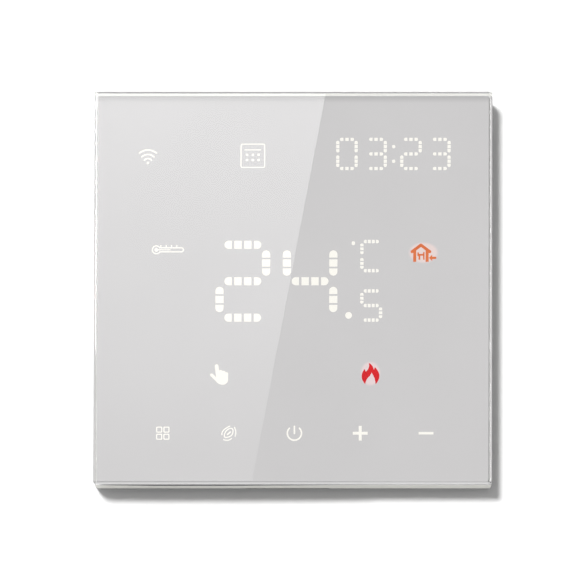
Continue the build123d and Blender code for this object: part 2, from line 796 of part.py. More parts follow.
rim_outside = 81.2
rim_thickness = 1.6
rim_front_y = -5.6
well_middle = screw_spacing / 2 + 1.0
housing_screw_places = four_corners(*housing_screw_at)
spring_pocket = 0.8
with BuildPart() as base_cover:
    slab(cover_front_y, plate_front_y, cover_side, cover_side, cover_corner)
    slab(rim_front_y, cover_front_y, rim_outside, rim_outside, 1.0)
    slab(rim_front_y, cover_front_y, rim_outside - 2 * rim_thickness, rim_outside - 2 * rim_thickness,
         mode=Mode.SUBTRACT)
    # connector tray, which reaches into the rear box
    slab(plate_front_y, tray_back_y, tray_width, tray_height)
    slab(cover_front_y, tray_floor_y, tray_width - 2 * tray_wall, tray_height - 2 * tray_wall, 1.0,
         mode=Mode.SUBTRACT)
    # wells over the wall screw slots
    slab(cover_front_y, plate_front_y, 10.4, 9.0, 2.0, [(side * well_middle, 0) for side in (-1, 1)],
         Mode.SUBTRACT)
    # opening for the header pins
    slab(tray_floor_y, tray_back_y, socket_width + 1.2, socket_depth + 1.2, 0.5, [header_at], Mode.SUBTRACT)
    rod(tray_floor_y, tray_back_y, 1.3, housing_screw_places, Mode.SUBTRACT)
    # studs that press on the power board
    rod(tray_back_y, power_front_y - 0.05, 1.4, four_corners(11.5, 24.0))
    # bosses for the plate screws
    rod(cover_front_y - 0.85, cover_front_y, 2.4, plate_screw_places)
    rod(-3.6, plate_front_y, 0.85, plate_screw_places, Mode.SUBTRACT)
    # pockets for the latch springs in the rim
    slab(latch_y - 0.8, latch_y + 0.8, 2 * spring_pocket, 11.0,
         places=[(side * rim_outside / 2, height) for side in (-1, 1) for height in (-latch_z, latch_z)],
         mode=Mode.SUBTRACT)
    # gaps in the rim that let air from the side slots reach the sensor
    vent_gap_at = rim_outside / 2 - rim_thickness / 2
    slab(rim_front_y, cover_front_y, 2 * rim_thickness, vent_count * vent_pitch,
         places=[(side * vent_gap_at, vent_middle) for side in (-1, 1)], mode=Mode.SUBTRACT)
    # pry slot at the lower edge
    slab(cover_front_y, cover_front_y + pry_slot_depth, pry_slot_width, pry_slot_height,
         places=[(pry_slot_x, -cover_side / 2)], mode=Mode.SUBTRACT)
finish(base_cover, "base_cover")

spring_thickness = 0.2
spring_half = 5.0
with BuildPart() as latch_springs:
    for side in (-1, 1):
        crest = side * (wall_inside / 2 - 0.05)
        foot = side * (rim_outside / 2 - spring_pocket + spring_thickness + 0.05)
        inward = side * spring_thickness
        for height in (-latch_z, latch_z):
            low, high = height - spring_half, height + spring_half
            with BuildSketch(wall_parallel(latch_y + 0.5)):
                with BuildLine():
                    ThreePointArc((foot, low), (crest, height), (foot, high))
                    Line((foot, high), (foot - inward, high))
                    ThreePointArc((foot - inward, high), (crest - inward, height), (foot - inward, low))
                    Line((foot - inward, low), (foot, low))
                make_face()
            extrude(amount=1.0)
finish(latch_springs, "latch_springs")

# ---------------------------------------------------------------- rear housing

inner_width = box_width - 2 * box_wall
inner_top = box_height / 2 - box_wall
main_bottom = recess_top + box_wall
shallow_floor_y = recess_floor_y - box_wall
recess_height = box_height / 2 + recess_top
cheek_back_y = block_back_y + 0.6
post_side = 7.4
post_at = (inner_width / 2 - post_side / 2, inner_top - post_side / 2)
block_width = poles * pole_pitch
pole_places = [((index - (poles - 1) / 2) * pole_pitch, terminal_z) for index in range(poles)]
pin_z = -17.8
pin_places = [(x, pin_z) for x, z in pole_places]
with BuildPart() as rear_housing:
    slab(plate_front_y, box_back_y, box_width, box_height, box_corner)
    chamfer(rear_housing.faces().sort_by(Axis.Y)[-1].edges(), 0.8)
    slab(plate_front_y, box_floor_y, inner_width, inner_top - main_bottom,
         places=[(0, (inner_top + main_bottom) / 2)], mode=Mode.SUBTRACT)
    slab(plate_front_y, shallow_floor_y, inner_width, main_bottom + inner_top + 1,
         places=[(0, (main_bottom - inner_top + 1) / 2)], mode=Mode.SUBTRACT)
    # recess for the terminal block, open behind and below
    slab(recess_floor_y, box_back_y, block_width + 0.2, recess_height + 2,
         places=[(0, recess_top - recess_height / 2 - 1)], mode=Mode.SUBTRACT)
    # cheeks beside the recess end flush with the terminal block
    slab(cheek_back_y, box_back_y, box_width + 1, recess_height + 2,
         places=[(0, recess_top - recess_height / 2 - 1)], mode=Mode.SUBTRACT)
    # posts for the housing screws and a rib that carries the upper edge of the power board
    slab(tray_back_y + 0.1, box_floor_y, post_side, post_side, places=[(-post_at[0], post_at[1]), post_at])
    slab(tray_back_y + 0.1, shallow_floor_y, post_side, post_side,
         places=[(-post_at[0], -post_at[1]), (post_at[0], -post_at[1])])
    slab(power_back_y + 0.1, box_floor_y, 8.0, 1.4, places=[(0, inner_top - 0.7)])
    rod(tray_back_y, tray_back_y + 5.0, 0.95, housing_screw_places, Mode.SUBTRACT)
    # slits for the terminal pins
    slab(shallow_floor_y, recess_floor_y, 1.6, 1.4, places=pin_places, mode=Mode.SUBTRACT)
    # air slits in the upper wall
    with BuildSketch(Plane.XY.offset(box_height / 2)):
        with Locations((0, 18.5)):
            with GridLocations(4.5, 1, 5, 1):
                SlotOverall(11.0, 1.2, rotation=90)
    extrude(amount=-box_wall - 0.2, mode=Mode.SUBTRACT)
finish(rear_housing, "rear_housing")

with BuildPart() as housing_screws:
    pan_screw(tray_floor_y, tray_back_y + 4.6, 0.92, 2.0, 1.4, housing_screw_places)
finish(housing_screws, "housing_screws")

with BuildPart() as insulating_label:
    slab(box_back_y, box_back_y + 0.15, 38.0, 30.0, 1.5, [(0, 7.0)])
finish(insulating_label, "insulating_label")

# ---------------------------------------------------------------- power board and what sits on it

board_notch = post_side + 0.4
notch_at = (power_width / 2 - board_notch / 2 + 0.2, power_height / 2 - board_notch / 2 + 0.2)
with BuildPart() as power_board:
    slab(power_front_y, power_back_y, power_width, power_height)
    slab(power_front_y, power_back_y, board_notch, board_notch, places=four_corners(*notch_at),
         mode=Mode.SUBTRACT)
    slab(power_front_y, power_back_y, 1.4, 1.2, places=pin_places, mode=Mode.SUBTRACT)
    slab(power_front_y, power_back_y, 0.9, 0.9, places=header_places, mode=Mode.SUBTRACT)
finish(power_board, "power_board")

pin_front_y = -2.9
strip_front_y = power_front_y - 2.5
with BuildPart() as header_pins:
    slab(pin_front_y, power_back_y + 1.0, 0.64, 0.64, places=header_places)
    chamfer(header_pins.faces().group_by(Axis.Y)[0].edges(), 0.15)
finish(header_pins, "header_pins")

with BuildPart() as header_strip:
    slab(strip_front_y, power_front_y, header_columns * header_pitch, header_rows * header_pitch,
         places=[header_at])
    slab(strip_front_y, power_front_y, 0.7, 0.7, places=header_places, mode=Mode.SUBTRACT)
finish(header_strip, "header_strip")

relay_at = (-11.5, -4.6)
with BuildPart() as relay:
    slab(power_back_y + 0.2, power_back_y + 15.5, 19.6, 15.4, 0.6, [relay_at])
    fillet(relay.faces().sort_by(Axis.Y)[-1].edges(), 0.5)
    rod(power_back_y + 15.5, power_back_y + 15.8, 0.9, [(relay_at[0] + 7.5, relay_at[1] + 5.3)])
finish(relay, "relay")

core_at = (11.2, -3.6)
core_width = 16.0
core_depth = 5.2
core_front_y = power_back_y + 1.6
core_height = 12.6
core_leg = 2.3
core_middle_leg = 4.2
with BuildPart() as transformer_core:
    slab(core_front_y, core_front_y + core_height, core_width, core_depth, places=[core_at])
    window_width = (core_width - 2 * core_leg - core_middle_leg) / 2
    window_places = [
        (core_at[0] + side * (core_middle_leg + window_width) / 2, core_at[1]) for side in (-1, 1)
    ]
    slab(core_front_y + core_leg, core_front_y + core_height - core_leg, window_width, core_depth,
         places=window_places, mode=Mode.SUBTRACT)
finish(transformer_core, "transformer_core")

with BuildPart() as transformer_coil:
    coil_front_y = core_front_y + core_leg + 0.2
    coil_back_y = core_front_y + core_height - core_leg - 0.2
    slab(coil_front_y, coil_back_y, core_width - 2 * core_leg - 0.4, 11.6, 1.2, [core_at])
    slab(coil_front_y, coil_back_y, core_middle_leg + 0.4, core_depth + 0.4, places=[core_at],
         mode=Mode.SUBTRACT)
    # pin carriers in front of and behind the core
    for side in (-1, 1):
        rail_at = (core_at[0], core_at[1] + side * 5.6)
        slab(power_back_y + 0.1, coil_front_y + 1.0, 13.0, 3.0, places=[rail_at])
finish(transformer_coil, "transformer_coil")


def can_capacitor(radius, height, place):
    """Upright electrolytic capacitor can with its crimp groove and the relief cross on top."""
    foot_y = power_back_y + 0.1
    top_y = foot_y + height
    turned(
        [
            (0, foot_y),
            (radius - 0.4, foot_y),
            (radius, foot_y + 0.4),
            (radius, foot_y + 1.4),
            (radius - 0.3, foot_y + 1.8),
            (radius, foot_y + 2.2),
            (radius, top_y - 0.4),
            (radius - 0.4, top_y),
            (0, top_y),
        ],
        [place],
    )
    for width, depth in ((radius * 1.3, 0.25), (0.25, radius * 1.3)):
        slab(top_y - 0.15, top_y, width, depth, places=[place], mode=Mode.SUBTRACT)


with BuildPart() as input_capacitor:
    can_capacitor(4.0, 13.0, (-17.0, 8.6))
finish(input_capacitor, "input_capacitor")

with BuildPart() as output_capacitor:
    can_capacitor(3.15, 11.0, (17.0, 9.4))
finish(output_capacitor, "output_capacitor")

with BuildPart() as safety_capacitor:
    slab(power_back_y + 0.2, power_back_y + 10.6, 12.4, 5.4, 0.5, [(-5.6, 8.4)])
    fillet(safety_capacitor.faces().sort_by(Axis.Y)[-1].edges(), 0.4)
finish(safety_capacitor, "safety_capacitor")

varistor_radius = 4.4
with BuildPart() as varistor:
    with BuildSketch(Plane.XY.offset(12.6)):
        with Locations((-7.5, power_back_y + varistor_radius + 1.4)):
            Circle(varistor_radius)
    extrude(amount=3.6)
    fillet(varistor.edges(), 1.2)
    rod(power_back_y + 0.1, power_back_y + 2.6, 0.35, [(-10.0, 14.0), (-5.0, 14.8)])
finish(varistor, "varistor")

with BuildPart() as fuse_resistor:
    with BuildSketch(Plane.YZ.offset(-13.6)):
        with Locations((power_back_y + 1.9, 21.6)):
            Circle(1.5)
    extrude(amount=8.4)
    fillet(fuse_resistor.edges(), 0.5)
    rod(power_back_y + 0.1, power_back_y + 1.9, 0.3, [(-12.9, 21.6), (-5.9, 21.6)])
finish(fuse_resistor, "fuse_resistor")

with BuildPart() as power_chip:
    small_chip_at = (9.6, 12.6)
    slab(power_back_y + 0.05, power_back_y + 1.6, 5.0, 4.0, 0.3, [small_chip_at])
    chamfer(power_chip.faces().sort_by(Axis.Y)[-1].edges(), 0.2)
    legs = [(small_chip_at[0] + (index - 1.5) * 1.27, small_chip_at[1]) for index in range(4)]
    slab(power_back_y + 0.05, power_back_y + 0.3, 0.45, 6.0, places=legs)
finish(power_chip, "power_chip")

# ---------------------------------------------------------------- terminals

cage_width = 5.2
cage_depth = 6.0
cage_back_y = 18.6          # with the screw home
cage_height = 6.0
cage_top = 1.6              # thickness of the tapped end
cage_sole = 1.0
clamp_travel = 2.0
screw_radius = 1.45
tapped_radius = 1.5
cavity_front_y = cage_back_y - cage_height - clamp_travel - 0.2
cavity_back_y = cage_back_y + 0.2
seat_y = 19.6
bar_front_y = cage_back_y - cage_height + cage_sole + 0.3
bar_thickness = 0.8
bar_back_y = bar_front_y + bar_thickness
block_middle_z = (block_bottom + block_top) / 2
with BuildPart() as terminal_block:
    slab(block_front_y, block_back_y, block_width, block_top - block_bottom, places=[(0, block_middle_z)])
    chamfer(terminal_block.faces().sort_by(Axis.Y)[-1].edges().filter_by(Axis.X), 0.6)
    # cage cavities, screw bores and head wells
    slab(cavity_front_y, cavity_back_y, cage_width + 0.4, cage_depth + 0.6, places=pole_places,
         mode=Mode.SUBTRACT)
    rod(cavity_back_y, seat_y, screw_radius + 0.25, pole_places, Mode.SUBTRACT)
    rod(seat_y, block_back_y, 2.4, pole_places, Mode.SUBTRACT)
    # wire entries from below
    entry_places = [(x, (block_bottom + terminal_z) / 2) for x, z in pole_places]
    slab(11.0, 14.7, 3.6, terminal_z - block_bottom + 0.2, places=entry_places, mode=Mode.SUBTRACT)
    # slots for the current bars and their pins
    bar_slots = [(x, (terminal_z + pin_z + 0.5) / 2) for x, z in pole_places]
    slab(bar_front_y - 0.1, bar_back_y + 0.1, 3.4, pin_z + 0.5 - terminal_z, places=bar_slots,
         mode=Mode.SUBTRACT)
    slab(block_front_y, bar_back_y + 0.1, 1.2, 1.0, places=pin_places, mode=Mode.SUBTRACT)
finish(terminal_block, "terminal_block")

with BuildPart() as current_bars:
    bar_bottom = terminal_z - cage_depth / 2 + 0.4
    bar_top = pin_z + 0.4
    slab(bar_front_y, bar_back_y, 3.2, bar_top - bar_bottom,
         places=[(x, (bar_top + bar_bottom) / 2) for x, z in pole_places])
    slab(power_front_y - 0.8, bar_back_y, 1.0, 0.8, places=pin_places)
finish(current_bars, "current_bars")

for number, place in enumerate(pole_places, start=1):
    with BuildPart() as terminal_screw:
        turned(
            [
                (0, bar_back_y + 0.3),
                (screw_radius - 0.3, bar_back_y + 0.3),
                (screw_radius, bar_back_y + 0.6),
                (screw_radius, seat_y + 0.05),
                (2.2, seat_y + 0.05),
                (2.2, seat_y + 2.1),
                (1.9, seat_y + 2.4),
                (0, seat_y + 2.4),
            ],
            [place],
        )
        slab(seat_y + 1.3, seat_y + 2.5, 0.7, 4.6, places=[place], mode=Mode.SUBTRACT)
        slab(seat_y + 1.3, seat_y + 2.5, 2.6, 0.7, places=[place], mode=Mode.SUBTRACT)
    finish(terminal_screw, f"terminal_screw_{number}")

    with BuildPart() as terminal_clamp:
        slab(cage_back_y - cage_height, cage_back_y, cage_width, cage_depth, 0.5, [place])
        slab(cage_back_y - cage_height + cage_sole, cage_back_y - cage_top, cage_width - 1.6, cage_depth + 1,
             places=[place], mode=Mode.SUBTRACT)
        rod(cage_back_y - cage_top, cage_back_y, tapped_radius, [place], Mode.SUBTRACT)
    finish(terminal_clamp, f"terminal_clamp_{number}")
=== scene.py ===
"""The looks of a wall thermostat with a glass face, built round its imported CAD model."""

import math

import bmesh
import bpy
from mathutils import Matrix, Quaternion, Vector


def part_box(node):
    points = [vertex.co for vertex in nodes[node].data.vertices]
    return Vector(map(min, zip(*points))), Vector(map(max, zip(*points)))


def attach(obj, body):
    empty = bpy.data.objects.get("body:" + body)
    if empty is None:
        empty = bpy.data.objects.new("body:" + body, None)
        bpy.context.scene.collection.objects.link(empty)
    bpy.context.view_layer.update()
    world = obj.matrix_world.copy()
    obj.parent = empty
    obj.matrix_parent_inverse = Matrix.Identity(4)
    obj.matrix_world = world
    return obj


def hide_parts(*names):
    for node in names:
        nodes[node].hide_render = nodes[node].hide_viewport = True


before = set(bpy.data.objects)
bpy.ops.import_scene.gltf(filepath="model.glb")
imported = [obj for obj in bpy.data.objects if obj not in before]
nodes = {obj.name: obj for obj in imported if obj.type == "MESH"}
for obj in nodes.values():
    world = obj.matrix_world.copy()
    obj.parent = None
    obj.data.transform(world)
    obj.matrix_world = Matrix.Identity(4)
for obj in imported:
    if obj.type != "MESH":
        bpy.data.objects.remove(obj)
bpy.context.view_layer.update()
MM = 0.001


# ---------------------------------------------------------------- shader building


class Recipe:
    """One material made of shader nodes, in object space measured in millimetres."""

    def __init__(self, name):
        self.material = bpy.data.materials.new(name)
        self.material.use_nodes = True
        self.tree = self.material.node_tree
        self.tree.nodes.clear()
        self.output = self.add("ShaderNodeOutputMaterial")
        coordinates = self.add("ShaderNodeTexCoord")
        self.place = self.maths("SCALE", coordinates.outputs["Object"], scale=1 / MM)
        self.axes = None

    def add(self, kind, **settings):
        node = self.tree.nodes.new(kind)
        for key, value in settings.items():
            setattr(node, key, value)
        return node

    def feed(self, socket, value):
        """Links a socket to a socket, or sets a plain value on it."""
        if isinstance(value, bpy.types.NodeSocket):
            self.tree.links.new(value, socket)
        elif isinstance(value, tuple) and len(value) == 3 and socket.type == "RGBA":
            socket.default_value = (*value, 1.0)
        else:
            socket.default_value = value

    def maths(self, operation, first, second=None, scale=None):
        node = self.add("ShaderNodeVectorMath", operation=operation)
        self.feed(node.inputs[0], first)
        if second is not None:
            self.feed(node.inputs[1], second)
        if scale is not None:
            node.inputs["Scale"].default_value = scale
        return node.outputs[0]

    def number(self, operation, first, second=0.5, clamp=False):
        node = self.add("ShaderNodeMath", operation=operation, use_clamp=clamp)
        self.feed(node.inputs[0], first)
        self.feed(node.inputs[1], second)
        return node.outputs[0]

    def axis(self, letter):
        """One object-space coordinate in millimetres."""
        if self.axes is None:
            self.axes = self.add("ShaderNodeSeparateXYZ")
            self.feed(self.axes.inputs[0], self.place)
        return self.axes.outputs[letter]

    def stretched(self, stretch):
        return self.maths("MULTIPLY", self.place, Vector(stretch))

    def noise(self, scale, detail=3.0, rough=0.55, stretch=None):
        node = self.add("ShaderNodeTexNoise")
        self.feed(node.inputs["Vector"], self.stretched(stretch) if stretch else self.place)
        node.inputs["Scale"].default_value = scale
        node.inputs["Detail"].default_value = detail
        node.inputs["Roughness"].default_value = rough
        return node.outputs["Fac"]

    def cells(self, scale, output="Color", stretch=None, randomness=1.0):
        node = self.add("ShaderNodeTexVoronoi")
        self.feed(node.inputs["Vector"], self.stretched(stretch) if stretch else self.place)
        node.inputs["Scale"].default_value = scale
        node.inputs["Randomness"].default_value = randomness
        return node.outputs[output]

    def span(self, value, first, last, low=0.0, high=1.0, smooth=False):
        """Maps value from first..last on to low..high, held at both ends."""
        node = self.add("ShaderNodeMapRange")
        node.interpolation_type = "SMOOTHSTEP" if smooth else "LINEAR"
        self.feed(node.inputs["Value"], value)
        for key, number in zip(("From Min", "From Max", "To Min", "To Max"), (first, last, low, high)):
            node.inputs[key].default_value = number
        return node.outputs["Result"]

    def blend(self, share, first, second, kind="MIX"):
        node = self.add("ShaderNodeMix", data_type="RGBA", blend_type=kind)
        self.feed(node.inputs["Factor"], share)
        self.feed(node.inputs[6], first)
        self.feed(node.inputs[7], second)
        return node.outputs[2]

    def bump(self, *layers):
        """Stacks (height, distance in millimetres, strength) layers into one normal."""
        normal = None
        for height, distance, strength in layers:
            node = self.add("ShaderNodeBump")
            self.feed(node.inputs["Height"], height)
            node.inputs["Distance"].default_value = distance * MM
            node.inputs["Strength"].default_value = strength
            if normal is not None:
                self.feed(node.inputs["Normal"], normal)
            normal = node.outputs[0]
        return normal

    def edges(self, radius):
        """1 along sharp edges and 0 on open faces."""
        rounded = self.add("ShaderNodeBevel", samples=4)
        rounded.inputs["Radius"].default_value = radius * MM
        facing = self.add("ShaderNodeNewGeometry")
        cosine = self.add("ShaderNodeVectorMath", operation="DOT_PRODUCT")
        self.feed(cosine.inputs[0], rounded.outputs[0])
        self.feed(cosine.inputs[1], facing.outputs["Normal"])
        return self.span(cosine.outputs["Value"], 0.999, 0.86)

    def surface(self, colour, roughness, normal=None, **settings):
        """A Principled shader on the output. Settings name its sockets with underscores."""
        shader = self.add("ShaderNodeBsdfPrincipled")
        self.feed(shader.inputs["Base Color"], colour)
        self.feed(shader.inputs["Roughness"], roughness)
        if normal is not None:
            self.feed(shader.inputs["Normal"], normal)
        for key, value in settings.items():
            self.feed(shader.inputs[key.replace("_", " ")], value)
        self.feed(self.output.inputs["Surface"], shader.outputs[0])
        return shader


def shade(colour, factor):
    return tuple(min(1.0, channel * factor) for channel in colour)


# ---------------------------------------------------------------- material families


def moulding(name, colour, rough=0.42, grain=0.14, depth=0.012, wear=0.12, edge=0.25, border_shade=None):
    """Injection-moulded plastic: spark-eroded grain, faint flow marks, worn and handled edges.

    The last argument is (y, colour, z, end colour), in millimetres: in front of that y the face is greyed
    as painted shade where it lies under the glass border, less so beyond that z at the top and the bottom."""
    recipe = Recipe(name)
    flow = recipe.noise(0.045, 2.0)
    fine = recipe.noise(1 / grain, 2.0)
    speck = recipe.noise(3.1, 4.0)
    tone = recipe.blend(recipe.span(flow, 0.35, 0.65), shade(colour, 0.97), shade(colour, 1.025))
    tone = recipe.blend(recipe.span(speck, 0.66, 0.8, 0.0, 0.35), tone, shade(colour, 0.86))
    worn = recipe.number("MULTIPLY", recipe.edges(edge), recipe.span(recipe.noise(0.9), 0.3, 0.7, 0.3, 1.0))
    tone = recipe.blend(recipe.number("MULTIPLY", worn, wear), tone, shade(colour, 1.25))
    if border_shade is not None:
        front_y, side_colour, end_z, end_colour = border_shade
        # painted shade: the frame's front face under the glass border is greyed, less at the top and bottom
        # ends
        end = recipe.span(recipe.number("ABSOLUTE", recipe.axis("Z")), end_z, end_z + 0.1)
        border_shade_tone = recipe.blend(end, side_colour, end_colour)
        tone = recipe.blend(recipe.span(recipe.axis("Y"), front_y + 0.02, front_y), tone, border_shade_tone)
    scuff = recipe.noise(0.35, 5.0, 0.7, (1.0, 1.0, 3.5))
    roughness = recipe.span(scuff, 0.35, 0.7, rough - 0.07, rough + 0.09)
    normal = recipe.bump((flow, 0.05, 0.3), (fine, depth, 0.6))
    recipe.surface(tone, roughness, normal, Specular_IOR_Level=0.45)
    return recipe.material


def metal(name, colour, rough=0.32, lay=(1.0, 1.0, 1.0), lay_scale=6.0, spots=0.15, depth=0.004):
    """Plated or bare metal with a drawn or rolled lay and a few duller spots."""
    recipe = Recipe(name)
    grain = recipe.noise(lay_scale, 5.0, 0.65, lay)
    dull = recipe.noise(0.55, 4.0)
    tone = recipe.blend(recipe.span(grain, 0.3, 0.7), shade(colour, 0.9), shade(colour, 1.05))
    tone = recipe.blend(recipe.span(dull, 0.55, 0.75, 0.0, spots), tone, shade(colour, 0.55))
    roughness = recipe.span(dull, 0.3, 0.7, rough - 0.08, rough + 0.14)
    normal = recipe.bump((grain, depth, 0.5))
    recipe.surface(tone, roughness, normal, Metallic=1.0)
    return recipe.material


def zinc(name):
    """Hot-dip zinc: crystal spangle, rolling lines and white oxide in patches."""
    recipe = Recipe(name)
    spangle = recipe.cells(0.32)
    gloss = recipe.add("ShaderNodeSeparateColor")
    recipe.feed(gloss.inputs[0], spangle)
    pale = recipe.span(gloss.outputs[0], 0.0, 1.0)
    tone = recipe.blend(pale, (0.50, 0.52, 0.54), (0.68, 0.70, 0.71))
    oxide = recipe.span(recipe.noise(0.22, 5.0), 0.58, 0.72, 0.0, 0.5)
    tone = recipe.blend(oxide, tone, (0.72, 0.73, 0.73))
    lines = recipe.noise(2.4, 3.0, 0.6, (6.0, 1.0, 0.12))
    roughness = recipe.span(gloss.outputs[1], 0.0, 1.0, 0.28, 0.52)
    recipe.surface(tone, roughness, recipe.bump((lines, 0.006, 0.5), (pale, 0.008, 0.4)), Metallic=0.9)
    return recipe.material


def laminate(name, colour, copper=0.5, pitch=0.42, seed=0.0):
    """A circuit board: solder mask over copper runs, drilled vias, glass weave in the cut edge."""
    recipe = Recipe(name)
    shifted = recipe.maths("ADD", recipe.place, Vector((seed, seed, seed)))
    runs = recipe.add("ShaderNodeTexVoronoi", distance="CHEBYCHEV", feature="SMOOTH_F1")
    recipe.feed(runs.inputs["Vector"], shifted)
    runs.inputs["Scale"].default_value = pitch * 0.5
    runs.inputs["Smoothness"].default_value = 0.2
    banks = recipe.number("SINE", recipe.number("MULTIPLY", runs.outputs["Distance"], 26.0))
    track = recipe.span(banks, copper - 0.12, copper + 0.12)
    pour = recipe.span(recipe.noise(0.11, 1.0), 0.46, 0.5)
    raised = recipe.number("MAXIMUM", track, pour)
    tone = recipe.blend(raised, shade(colour, 0.78), shade(colour, 1.15))
    dots = recipe.cells(0.55, "Distance", randomness=0.9)
    via = recipe.span(dots, 0.16, 0.13)
    hole = recipe.span(dots, 0.07, 0.05)
    tone = recipe.blend(via, tone, (0.62, 0.60, 0.50))
    tone = recipe.blend(hole, tone, (0.02, 0.02, 0.015))
    weave = recipe.noise(4.0, 2.0, 0.5, (1.0, 1.0, 6.0))
    tone = recipe.blend(recipe.span(weave, 0.4, 0.6, 0.0, 0.12), tone, shade(colour, 1.5))
    roughness = recipe.span(recipe.noise(0.8), 0.3, 0.7, 0.28, 0.42)
    normal = recipe.bump((raised, 0.035, 0.6), (via, 0.02, 0.5), (weave, 0.004, 0.4))
    recipe.surface(tone, roughness, normal)
    return recipe.material


def lit(name, colour, edge_colour, strength):
    """A mark lit from behind through milky ink, a little uneven from cell to cell."""
    recipe = Recipe(name)
    patch = recipe.noise(0.35, 2.0)
    grain = recipe.noise(7.0, 2.0)
    glow = recipe.blend(recipe.span(patch, 0.35, 0.65), colour, edge_colour)
    glow = recipe.blend(recipe.span(grain, 0.4, 0.7, 0.0, 0.08), glow, shade(colour, 0.9))
    recipe.surface(
        shade(colour, 0.06), 0.5, recipe.bump((grain, 0.004, 0.4)),
        Emission_Color=glow, Emission_Strength=strength, Specular_IOR_Level=0.0,
    )
    return recipe.material


def lacquer(name, colour, rough=0.3, mottle=0.15, coat=0.4):
    """Dipped or sleeved component: glossy, slightly sagged skin."""
    recipe = Recipe(name)
    sag = recipe.noise(0.35, 3.0)
    dirt = recipe.noise(1.8, 5.0)
    tone = recipe.blend(recipe.span(sag, 0.35, 0.65), shade(colour, 1 - mottle), shade(colour, 1 + mottle))
    tone = recipe.blend(recipe.span(dirt, 0.6, 0.8, 0.0, 0.25), tone, shade(colour, 0.6))
    roughness = recipe.span(dirt, 0.35, 0.65, rough - 0.06, rough + 0.1)
    recipe.surface(tone, roughness, recipe.bump((sag, 0.06, 0.4), (dirt, 0.006, 0.4)), Coat_Weight=coat)
    return recipe.material


def foam(name):
    """Closed-cell foam tape."""
    recipe = Recipe(name)
    pores = recipe.cells(5.5, "Distance")
    tone = recipe.blend(recipe.span(pores, 0.1, 0.5), (0.05, 0.05, 0.052), (0.13, 0.13, 0.135))
    recipe.surface(tone, recipe.span(pores, 0.0, 0.5, 0.95, 0.7), recipe.bump((pores, 0.05, 0.7)))
    return recipe.material


def paper(name):
    """A coated label with a plain printed frame and ruled rows, and a curl of gloss."""
    recipe = Recipe(name)
    fibre = recipe.noise(2.5, 6.0, 0.7, (1.0, 1.0, 2.0))
    tone = recipe.blend(recipe.span(fibre, 0.35, 0.65), (0.78, 0.78, 0.76), (0.86, 0.86, 0.84))
    across = recipe.number("ABSOLUTE", recipe.axis("X"))
    up = recipe.number("ABSOLUTE", recipe.number("SUBTRACT", recipe.axis("Z"), LABEL_MIDDLE))
    past_side = recipe.number("SUBTRACT", across, LABEL_FRAME[0])
    past_end = recipe.number("SUBTRACT", up, LABEL_FRAME[1])
    outer = recipe.number("MAXIMUM", past_side, past_end)
    border = recipe.span(recipe.number("ABSOLUTE", outer), 0.14, 0.1)
    rows = recipe.number("PINGPONG", recipe.number("ADD", recipe.axis("Z"), LABEL_ROW_START), LABEL_ROW_PITCH)
    rule = recipe.span(rows, 0.12, 0.08)
    inside = recipe.span(outer, -LABEL_MARGIN, -LABEL_MARGIN - 0.1)
    ink = recipe.number("MAXIMUM", border, recipe.number("MULTIPLY", rule, inside))
    tone = recipe.blend(ink, tone, (0.12, 0.12, 0.13))
    recipe.surface(tone, recipe.span(fibre, 0.3, 0.7, 0.42, 0.58), recipe.bump((fibre, 0.008, 0.5)))
    return recipe.material


def spill(recipe, node_name):
    """Light that strays round a mark: 1 close to the mark, fading out over an oval about its box."""
    low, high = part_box(node_name)
    squares = []
    for letter, index in (("X", 0), ("Z", 2)):
        middle, half = (low[index] + high[index]) / 2 / MM, (high[index] - low[index]) / 2 / MM
        away = recipe.number("DIVIDE", recipe.number("SUBTRACT", recipe.axis(letter), middle), half)
        squares.append(recipe.number("MULTIPLY", away, away))
    distance = recipe.number("SQRT", recipe.number("ADD", *squares))
    return recipe.span(distance, SPILL_START, SPILL_END, SPILL_STRENGTH, 0.0, smooth=True)


def print_film(name):
    """Grey ink screened on the back of the face, with a painted shadow along its top edge under the glass
    edge.

    Light from the coloured marks spills a little way into the ink round them."""
    recipe = Recipe(name)
    cloud = recipe.noise(0.03, 2.0)
    mesh = recipe.noise(5.0, 2.0)
    tone = recipe.blend(recipe.span(cloud, 0.35, 0.65), shade(PRINT_GREY, 0.985), shade(PRINT_GREY, 1.015))
    tone = recipe.blend(recipe.span(mesh, 0.4, 0.6, 0.0, 0.06), tone, shade(PRINT_GREY, 0.9))
    # painted shadow: the ink darkens towards its top edge, under the glass edge
    top = recipe.span(recipe.axis("Z"), FILM_HALF - TOP_SHADE_DEPTH, FILM_HALF, 0.0, TOP_SHADE)
    tone = recipe.blend(top, tone, shade(PRINT_GREY, 0.5))
    roughness = recipe.span(mesh, 0.3, 0.7, 0.48, 0.58)
    flame, home = spill(recipe, "flame_mark"), spill(recipe, "home_mark")
    recipe.surface(
        tone, roughness, recipe.bump((mesh, 0.003, 0.4)), Specular_IOR_Level=0.0,
        Emission_Color=recipe.blend(home, FLAME_SPILL, HOME_SPILL),
        Emission_Strength=recipe.number("MAXIMUM", flame, home),
    )
    return recipe.material


def clear_glass(name):
    """Float glass: polished face with a faint smear, lamps shine through."""
    recipe = Recipe(name)
    smear = recipe.noise(0.12, 4.0)
    glass = recipe.surface(
        (0.985, 0.99, 0.99), recipe.span(smear, 0.4, 0.7, 0.0, 0.003),
        recipe.bump((smear, 0.0004, 0.3)), Transmission_Weight=1.0, IOR=1.5,
    )
    clear = recipe.add("ShaderNodeBsdfTransparent")
    clear.inputs[0].default_value = (0.955, 0.955, 0.955, 1.0)
    path = recipe.add("ShaderNodeLightPath")
    mixed = recipe.add("ShaderNodeMixShader")
    straight = recipe.number("MAXIMUM", path.outputs["Is Shadow Ray"], path.outputs["Is Diffuse Ray"])
    recipe.feed(mixed.inputs[0], straight)
    recipe.feed(mixed.inputs[1], glass.outputs[0])
    recipe.feed(mixed.inputs[2], clear.outputs[0])
    recipe.feed(recipe.output.inputs["Surface"], mixed.outputs[0])
    return recipe.material


# ---------------------------------------------------------------- finishes by slot

